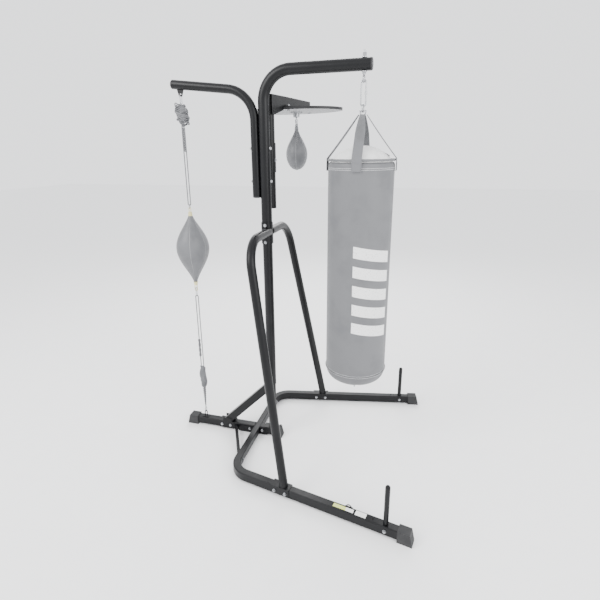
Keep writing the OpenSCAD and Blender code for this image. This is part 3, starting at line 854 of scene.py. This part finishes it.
@dataclass
class HeavyBag:
    """Heavy bag with its cover, hem, padded cap, four straps and base ring."""

    centre: tuple[float, float]
    rim_z: float = 1.756
    base_z: float = 0.511
    radius: float = 0.175
    round_r: float = 0.07
    hem_h: float = 0.046
    hem_wire: float = 0.006
    piping_wire: float = 0.0022
    seam_turn: float = -1.9
    cap_inset: float = 0.0165
    cap_edge: float = 0.012
    cap_crown: float = 0.078
    cap_pleats: int = 14
    strap_top_z: float = 1.98135
    strap_w: float = 0.05
    strap_t: float = 0.003
    patch_t: float = 0.0016
    d_ring_r: float = 0.0125
    d_ring_wire: float = 0.0022
    loop_w: float = 0.024
    loop_t: float = 0.002
    body: str = "heavy_bag"

    def build(self) -> None:
        """Make all of the bag's pieces."""
        vinyl = replace(COVER_VINYL, centre=self.centre, radius=self.radius, turn=self.seam_turn)
        self.cover(vinyl)
        self.hem(vinyl)
        self.cap()
        self.cap_piping()
        for k, side in enumerate(("right", "back", "left", "front")):
            self.strap(side, math.radians(90 * k))
        self.base_loop()

    def outward_of(self, place: Vector) -> Vector:
        """Return how far a place is from the bag's axis, level."""
        return Vector((place.x - self.centre[0], place.y - self.centre[1]))

    def cover(self, vinyl: BagCover) -> None:
        """Make the stuffed cover, held at its hems and its upright seam.

        Args:
            vinyl: The cover's finish.
        """
        stretch = 0.004
        mouth = 0.03
        r = self.radius - stretch
        wall_z = self.base_z + self.round_r
        lid_z = self.rim_z - 0.012
        rings = [(self.base_z + 0.003, mouth), (self.base_z + 0.001, r - self.round_r)]
        for deg in range(15, 91, 15):
            a = math.radians(deg)
            rings.append(
                (wall_z - self.round_r * math.cos(a), r - self.round_r * (1 - math.sin(a)))
            )
        rings += [(wall_z + (self.rim_z - 0.02 - wall_z) * k / 12, r) for k in range(1, 13)]
        rings += [(lid_z, r - 0.012), (lid_z, mouth)]
        piece = turned("heavy_bag_cover", self.centre, rings, 96)

        def sewn(place: Vector) -> float:
            """Return how firmly the cover is held at a place."""
            off = self.outward_of(place)
            half = (math.atan2(off.y, off.x) + self.seam_turn) / 2
            seam = abs(math.sin(half)) * self.radius < 0.006
            base_hem = abs(place.z - wall_z - 0.006)
            hems = min(base_hem, abs(place.z - self.rim_z + self.hem_h)) < 0.008
            return 1.0 if seam or hems or place.z > self.rim_z - 0.04 else 0.0

        swell(piece, 0.009, stretch, sewn)
        dress(piece, vinyl, self.body)
        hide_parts("heavy_bag")

    def hem(self, vinyl: BagCover) -> None:
        """Make the turned-over hem round the rim and the piping above the base.

        Args:
            vinyl: The cover's finish.
        """
        rim = (*self.centre, self.rim_z - 0.004)
        fold = hoop("heavy_bag_hem", rim, self.radius - self.hem_wire, self.hem_wire)
        dress(fold, vinyl, self.body)
        base = (*self.centre, self.base_z + self.round_r + 0.004)
        piping = hoop("heavy_bag_base_piping", base, self.radius - 0.0015, self.piping_wire)
        dress(piping, vinyl, self.body)

    def dome(self, r: float) -> float:
        """Return the cap's height at a distance from its middle."""
        share = min(r / (self.radius - 0.0144), 1.0)
        return self.rim_z - self.cap_edge + self.cap_crown * (1 - share**2.4)

    def cap(self) -> None:
        """Make the padded white cap with its puckered edge."""
        top = self.radius - self.cap_inset
        rings = [(self.rim_z - 0.028, top), (self.rim_z - self.cap_edge, top)]
        rings += [(self.dome(top * k / 12), top * k / 12) for k in range(11, 0, -1)]
        piece = turned("bag_cap_cloth", self.centre, rings, 96)

        def sewn(place: Vector) -> float:
            """Return how firmly the cap is held at a place."""
            off = self.outward_of(place)
            pleat = math.cos(math.atan2(off.y, off.x) * self.cap_pleats) > 0.7
            tucked = place.z < self.rim_z - 0.008
            return 1.0 if tucked or (off.length > top * 0.84 and pleat) else 0.0

        swell(piece, 0.005, 0.006, sewn)
        dress(piece, WHITE_LINER, self.body)
        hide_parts("bag_cap")

    def cap_piping(self) -> None:
        """Make the piping across the cap, from the back strap to the right one."""
        run = []
        for k in range(25):
            turn = math.radians(4 + 82 * k / 24)
            r = 0.128 + 0.012 * math.cos(turn * 4)
            x = self.centre[0] + r * math.cos(turn)
            y = self.centre[1] + r * math.sin(turn)
            run.append((x, y, self.dome(r) + 0.004))
        dress(wound("bag_cap_piping", run, 0.003), GREY_PIPING, self.body)

    def strap(self, side: str, turn: float) -> None:
        """Make one strap with its sewn patch and its small ring.

        Args:
            side: The side's name.
            turn: Its angle from +X, in radians.
        """
        rise = Vector((0, 0, 1))
        away = Vector((math.cos(turn), math.sin(turn), 0))
        across = Vector((-math.sin(turn), math.cos(turn), 0))
        head = Vector((*self.centre, self.strap_top_z))
        top = head + away * 0.02 - rise * 0.012
        rim = Vector((*self.centre, self.rim_z + self.strap_t)) + away * (self.radius + 0.0022)
        sag = 0.004
        steps = [n / 8 for n in range(9)]
        path = [top + (rim - top) * t - rise * sag * math.sin(math.pi * t) for t in steps]
        path += [rim - rise * drop for drop in (0.012, 0.03, 0.062)]
        widths = [0.024, 0.036, 0.044, *([self.strap_w] * (len(path) - 3))]
        strap = band(f"strap_{side}", path, across, widths, self.strap_t)
        dress(strap, WEBBING, self.body)
        if side == "right":
            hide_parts("bag_straps")
        rows = [rim + away * 0.0022 - rise * drop for drop in (0.02, 0.034, 0.048, 0.058)]
        widths = [self.strap_w * 0.84] * len(rows)
        dress(band(f"strap_patch_{side}", rows, across, widths, self.patch_t), WEBBING, self.body)
        tilt = math.atan2(rim.z - top.z, (rim - top).dot(away))
        seat = head + away * self.d_ring_r - rise * 0.003
        lean = (0, math.pi / 2 - tilt * 0.2, turn)
        ring = hoop(f"strap_d_ring_{side}", seat, self.d_ring_r, self.d_ring_wire, lean)
        dress(ring, STRAP_RING_ZINC, self.body)

    def base_loop(self) -> None:
        """Make the webbing loop under the base and the ring in it."""
        x, y = self.centre
        half = [(0.016, 0.001), (0.006, -0.014), (0.0035, -0.036)]
        outline = [*half, (0.0, -0.054), *((-side, z) for side, z in reversed(half))]
        path = [Vector((x, y + side, self.base_z + z)) for side, z in outline]
        loop = band("base_loop", path, Vector((1, 0, 0)), [self.loop_w] * len(path), self.loop_t)
        dress(loop, WEBBING, self.body)
        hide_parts("base_ring")
        upright = (math.pi / 2, 0, math.pi / 2)
        ring = hoop("base_ring_wire", (x, y, self.base_z - 0.063), 0.0115, 0.0024, upright)
        dress(ring, BASE_RING_ZINC, self.body)


@dataclass
class SewnBall:
    """An air-filled bag sewn from gores, turned about an upright axis."""

    name: str
    node: str
    body: str
    centre: tuple[float, float]
    rings: list[tuple[float, float]]
    gores: int
    turn: float
    stretch: float = 0.0026

    def build(self) -> None:
        """Make the bag and swell its gores between the seams."""
        piece = turned(self.name, self.centre, self.rings, 72)

        def sewn(place: Vector) -> float:
            """Return how firmly the skin is held at a place."""
            off = Vector((place.x - self.centre[0], place.y - self.centre[1]))
            wave = abs(math.sin((math.atan2(off.y, off.x) + self.turn) * self.gores / 2))
            on_seam = wave * off.length * 2 / self.gores < 0.003
            return 1.0 if on_seam or off.length < 0.02 else 0.0

        swell(piece, 0.004, self.stretch, sewn)
        leather = replace(
            BALL_LEATHER,
            name=f"{self.name}_leather",
            centre=self.centre,
            panels=self.gores,
            radius=max(r for _, r in self.rings),
            turn=self.turn,
        )
        dress(piece, leather, self.body)
        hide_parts(self.node)


@dataclass
class SpeedBag:
    """Speed bag with its neck wrap, tab loop and lacing."""

    centre: tuple[float, float]
    top_z: float = 1.938
    low_z: float = 1.683
    radius: float = 0.067
    neck_r: float = 0.009
    widest: float = 0.62
    cover_t: float = 0.0016
    ring_z: float = 1.957
    platform_turn_deg: float = 77.5
    lace_rows: int = 12
    lace_wire: float = 0.0011
    body: str = "speed_bag"

    def pear(self, t: float) -> float:
        """Return the bag's radius at a share of its length from the top."""
        if t < self.widest:
            swing = math.sin(math.radians(90 * t / self.widest))
            return self.neck_r + (self.radius - self.neck_r) * swing**1.7
        return self.radius * math.sqrt(max(1 - ((t - self.widest) / (1 - self.widest)) ** 2, 0.004))

    def build(self) -> None:
        """Make the bag, its neck wrap, its tab and its lacing."""
        h = self.top_z - self.low_z
        steps = [k / 28 for k in range(28, -1, -1)]
        rings = [(self.top_z - h * t, self.pear(t) - self.cover_t) for t in steps]
        SewnBall("speed_bag_skin", "speed_bag", self.body, self.centre, rings, 6, 0.35).build()
        folds = [(-0.016, 0.0125), (-0.008, 0.0108), (0.0, 0.0098), (0.004, 0.008)]
        wrap = [(self.top_z + rise, r) for rise, r in folds]
        dress(turned("speed_bag_neck_wrap", self.centre, wrap, 40), TAB_LEATHER, self.body)
        turn = math.radians(self.platform_turn_deg)
        low_ring = (*self.centre, self.ring_z - 0.0095)
        tab = hoop("speed_bag_tab", low_ring, 0.0068, 0.0026, (0, math.pi / 2, turn))
        dress(tab, TAB_LEATHER, self.body)
        self.lace(turn - math.pi * 0.82)

    def lace(self, facing: float) -> None:
        """Lace the mouth of the cover below its neck.

        Args:
            facing: Angle from +X that the mouth faces, in radians.
        """
        x, y = self.centre
        first, pitch, half_w = 0.04, 0.0055, 0.0062
        route = []
        for k in range(self.lace_rows):
            z = self.top_z - first - pitch * k
            r = self.pear((self.top_z - z) / (self.top_z - self.low_z)) + 0.0012
            side = facing + (half_w / r) * (1 if k % 2 else -1)
            proud = r + 0.0009
            route.append((x + r * math.cos(side), y + r * math.sin(side), z))
            route.append(
                (x + proud * math.cos(facing), y + proud * math.sin(facing), z - pitch / 2)
            )
        dress(wound("speed_bag_lace", route, self.lace_wire), LACE_LEATHER, self.body)


@dataclass
class DoubleEndBag:
    """Lemon-shaped bag with a pale collar at each tip."""

    centre: tuple[float, float]
    top_z: float = 1.454
    low_z: float = 1.004
    radius: float = 0.1
    tip_r: float = 0.009
    cover_t: float = 0.0016
    body: str = "double_end_bag"

    def lemon(self, t: float) -> float:
        """Return the bag's radius at a share of its length from the top."""
        swing = max(math.sin(math.pi * t**0.94), 0.0)
        return self.tip_r + (self.radius - self.tip_r) * swing**1.6

    def build(self) -> None:
        """Make the bag and its two collars."""
        h = self.top_z - self.low_z
        steps = [k / 32 for k in range(33)]
        rings = [(self.low_z + h * t, self.lemon(1 - t) - self.cover_t) for t in steps]
        SewnBall("double_end_skin", "double_end_bag", self.body, self.centre, rings, 6, 0.2).build()
        collar = [(0.02, 0.0135), (0.008, 0.0115), (-0.002, 0.0108), (-0.004, 0.007)]
        ends = {
            "upper": [(self.top_z - inward, r) for inward, r in collar],
            "lower": [(self.low_z + inward, r) for inward, r in reversed(collar)],
        }
        for end, outline in ends.items():
            piece = turned(f"double_end_collar_{end}", self.centre, outline, 40)
            dress(piece, COLLAR_CLOTH, self.body)


@dataclass
class ElasticCord:
    """A doubled elastic cord that runs on through its knot; its body is named as its node."""

    centre: tuple[float, float]
    node: str
    knot_node: str
    root_z: float
    start_z: float
    bend_z: float
    half: float
    radius: float = 0.003
    twist_r: float = 0.0028

    def route(self) -> list[tuple[float, float, float]]:
        """Return the way through the knot, along one strand, round its loop and back."""
        x, y = self.centre
        left, right = x - self.half, x + self.half
        sign = -1.0 if self.bend_z < self.start_z else 1.0
        legs = [self.start_z + (self.bend_z - self.start_z) * k / 10 for k in range(11)]
        path = []
        for k in range(8):
            z = self.root_z + (self.start_z - self.root_z) * k / 8
            path.append((x - self.half * (k / 8) ** 2, y, z))
        path += [(left, y, z) for z in legs]
        for deg in range(15, 180, 15):
            a = math.radians(deg)
            path.append(
                (x - self.half * math.cos(a), y, self.bend_z + sign * self.half * math.sin(a))
            )
        return [*path, *((right, y, z) for z in reversed(legs))]

    def skein(
        self, name: str, core: Core, turns: int, wave: float, wire: float | None = None
    ) -> bpy.types.Object:
        """Wind spare cord round a core.

        Args:
            name: The piece's name.
            core: Gives centre x, centre y, height and radius at a share of the way.
            turns: Number of turns.
            wave: How far the turns wander up and down.
            wire: The wound cord's radius, or None for the cord's own.

        Returns:
            The piece.
        """
        points = []
        steps = turns * 20
        for k in range(steps + 1):
            share = k / steps
            x, y, z, r = core(share)
            a = 2 * math.pi * turns * share
            points.append(
                (x + r * math.cos(a), y + r * math.sin(a), z + wave * math.sin(a + share * 9))
            )
        return wound(name, points, wire or self.radius)

    def tie(
        self, cord: bpy.types.Object, core: bpy.types.Object, parts: Sequence[bpy.types.Object]
    ) -> None:
        """Args:
            cord: The cord, laid along its route.
            core: The piece that stands for the knot; not used.
            parts: Every piece on the cord, the core among them.
        """
        for piece in (cord, *parts):
            dress(piece, GREY_BRAID, self.node)
        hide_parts(self.node)
        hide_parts(self.knot_node)
        path = self.route()


@dataclass
class UpperCord(ElasticCord):
    """Upper cord, with a round knot under its clip."""

    knot_z: float = 2.0
    knot_h: float = 0.094
    knot_r: float = 0.034
    tilt_deg: float = -22.0

    def ball(self, share: float) -> tuple[float, float, float, float]:
        """Return the knot's core at a share of its height."""
        along = self.knot_h * (share - 0.5)
        lean = Matrix.Rotation(math.radians(self.tilt_deg), 3, "Y")
        spot = Vector((*self.centre, self.knot_z)) + lean @ Vector((0, 0, along))
        return spot.x, spot.y, spot.z, self.knot_r * math.sqrt(max(1 - (along / 0.051) ** 2, 0.06))

    def build(self) -> None:
        """Make the cord and its knot."""
        x, y = self.centre
        heart = []
        for k in range(-5, 6):
            r = 0.029 * math.sqrt(max(1 - (k / 5.4) ** 2, 0.05))
            heart.append((self.knot_z + 0.0092 * k, r))
        throat = [(1.934, 0.0065), (1.96, 0.0075), (2.0, 0.007), (2.0495, 0.0055)]
        wraps = self.skein("upper_knot_wraps", self.ball, 15, 0.009)
        loops = self.skein(
            "upper_knot_loops", lambda s: self.ball(0.5 + 0.42 * math.sin(s * 19)), 9, 0.022
        )
        core = turned("upper_knot_core", self.centre, heart, 32)
        tail = self.skein(
            "upper_knot_tail", lambda s: (x, y, 1.9345 + 0.034 * s, 0.0072), 6, 0.001, self.twist_r
        )
        neck = turned("upper_knot_neck", self.centre, throat, 24)
        cord = strand("upper_elastic_cord", self.route(), self.radius)
        twist = self.skein(
            "upper_strand_twist", lambda s: (x, y, 1.8 + 0.13 * s, 0.0042), 13, 0.0, self.twist_r
        )
        self.tie(cord, core, [wraps, loops, core, tail, neck, twist])


@dataclass
class LowerCord(ElasticCord):
    """Lower cord, with its spare length wound in a spindle above a tapering tail."""

    spindle_z: float = 0.29
    spindle_h: float = 0.142
    tail_z: float = 0.147
    tail_h: float = 0.145
    wrap_z: float = 0.51
    wrap_h: float = 0.12
    wrap_wire: float = 0.0022
    outline: tuple[tuple[float, float], ...] = (
        (0.145, 0.006),
        (0.24, 0.011),
        (0.285, 0.012),
        (0.305, 0.02),
        (0.36, 0.022),
        (0.415, 0.019),
        (0.437, 0.013),
    )

    def girth(self, z: float) -> float:
        """Return the spindle's radius at a height."""
        for (z0, r0), (z1, r1) in zip(self.outline, self.outline[1:]):
            if z <= z1:
                return r0 + (r1 - r0) * (z - z0) / (z1 - z0)
        return self.outline[-1][1]

    def spindle(self, share: float) -> tuple[float, float, float, float]:
        """Return the spindle's core at a share of its height."""
        x, y = self.centre
        z = self.spindle_z + self.spindle_h * share
        return x + 0.004 * math.sin(share * 7), y, z, self.girth(z) - self.radius

    def tail(self, share: float) -> tuple[float, float, float, float]:
        """Return the tail's core at a share of its height."""
        z = self.tail_z + self.tail_h * share
        return *self.centre, z, max(self.girth(z) - 0.003, 0.002)

    def wrap(self, share: float) -> tuple[float, float, float, float]:
        """Return the core of the wrap on one strand at a share of its height."""
        x, y = self.centre
        r = 0.0052 + 0.001 * math.sin(share * 21)
        return x - self.half, y, self.wrap_z + self.wrap_h * share, r

    def build(self) -> None:
        """Make the cord, its spare length and the wrap on one strand."""
        heart = [(z, max(r - 0.005, 0.003)) for z, r in self.outline]
        core = turned("lower_knot_core", self.centre, heart, 32)
        wraps = self.skein("lower_knot_wraps", self.spindle, 20, 0.004)
        loops = self.skein(
            "lower_knot_loops", lambda s: self.spindle(0.5 + 0.44 * math.sin(s * 15)), 7, 0.018
        )
        tail = self.skein("lower_tail_twist", self.tail, 9, 0.0, self.twist_r)
        spare = self.skein("lower_strand_wrap", self.wrap, 26, 0.0004, self.wrap_wire)
        cord = strand("lower_elastic_cord", self.route(), self.radius)
        self.tie(cord, core, [core, wraps, loops, tail, spare])


# ---------- stage ----------


@dataclass
class Studio:
    """Camera, pale floor and soft lights."""

    eye: tuple[float, float, float] = (0.6813, -2.3229, 1.8002)
    yaw_deg: float = 15.78
    pitch_deg: float = 16.82
    roll_deg: float = -0.58
    lens: float = 26.006
    shift: tuple[float, float] = (0.0037, -0.0306)

    def camera(self) -> None:
        """Stand the camera and make it the scene's."""
        yaw, pitch, roll = (math.radians(a) for a in (self.yaw_deg, self.pitch_deg, self.roll_deg))
        level = Vector((-math.sin(yaw), math.cos(yaw), 0))
        ahead = level * math.cos(pitch) - Vector((0, 0, math.sin(pitch)))
        right = Vector((math.cos(yaw), math.sin(yaw), 0))
        up = right.cross(ahead)
        right, up = right * math.cos(
            roll
        ) + up * math.sin(roll), up * math.cos(roll) - right * math.sin(roll)
        data = bpy.data.cameras.new("camera")
        data.lens = self.lens
        data.sensor_width = 36.0
        data.shift_x, data.shift_y = self.shift
        data.clip_end = 60.0
        camera = bpy.data.objects.new("camera", data)
        bpy.context.scene.collection.objects.link(camera)
        turn = Matrix((right, up, -ahead)).transposed().to_4x4()
        camera.matrix_world = Matrix.Translation(self.eye) @ turn
        bpy.context.scene.camera = camera

    def floor(self) -> None:
        """Lay the pale floor."""
        deselect()
        bpy.ops.mesh.primitive_plane_add(size=40, location=(0, 0, -0.0005))
        floor = bpy.context.object
        floor.name = "floor"
        dress(floor, PALE_FLOOR)

    def light(self, name: str, place: Sequence[float], size: float, power: float) -> None:
        """Hang one soft square light that faces the stand.

        Args:
            name: The light's name.
            place: Where it hangs.
            size: Its side in metres.
            power: Its power in watts.
        """
        data = bpy.data.lights.new(name, "AREA")
        data.shape = "SQUARE"
        data.size = size
        data.energy = power
        lamp = bpy.data.objects.new(name, data)
        bpy.context.scene.collection.objects.link(lamp)
        aim = Vector((0, 0, 1.1)) - Vector(place)
        turn = aim.to_track_quat("-Z", "Y").to_matrix().to_4x4()
        lamp.matrix_world = Matrix.Translation(place) @ turn

    def build(self) -> None:
        """Make the floor, the lights and the pale surroundings."""
        self.floor()
        self.light("key_light", (-2.6, -3.0, 3.8), 2.4, 190)
        self.light("fill_light", (3.4, -1.8, 2.6), 2.6, 110)
        self.light("back_light", (-0.5, 3.4, 3.6), 2.4, 130)
        world = bpy.data.worlds.new("surroundings")
        bpy.context.scene.world = world
        world.use_nodes = True
        back = world.node_tree.nodes["Background"]
        back.inputs["Color"].default_value = (0.97, 0.98, 1.0, 1.0)
        back.inputs["Strength"].default_value = 2.0


def middle(node: str) -> tuple[float, float]:
    """Return where a node's upright axis stands.

    Args:
        node: The node's name.

    Returns:
        The middle of its box, as (x, y).
    """
    low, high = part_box(node)
    return (low[0] + high[0]) / 2, (low[1] + high[1]) / 2


def main() -> None:
    """Build everything in order."""
    logging.basicConfig(level=logging.INFO, format="%(message)s")
    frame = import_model()
    studio = Studio()
    studio.camera()
    axis = middle("upper_cord")
    UpperCord(axis, "upper_cord", "upper_bundle", 2.0498, 1.93, 1.504, 0.008).build()
    LowerCord(axis, "lower_cord", "lower_bundle", 0.1452, 0.436, 0.924, 0.009).build()
    HeavyBag(middle("heavy_bag")).build()
    SpeedBag(middle("speed_bag")).build()
    DoubleEndBag(middle("double_end_bag")).build()
    soft = ("heavy_bag", "bag_cap", "bag_straps", "base_ring", "speed_bag", "double_end_bag",
            "upper_bundle", "upper_cord", "lower_cord", "lower_bundle")
    MetalWork(frame, soft).build()
    studio.build()


if __name__ == "__main__":
    main()
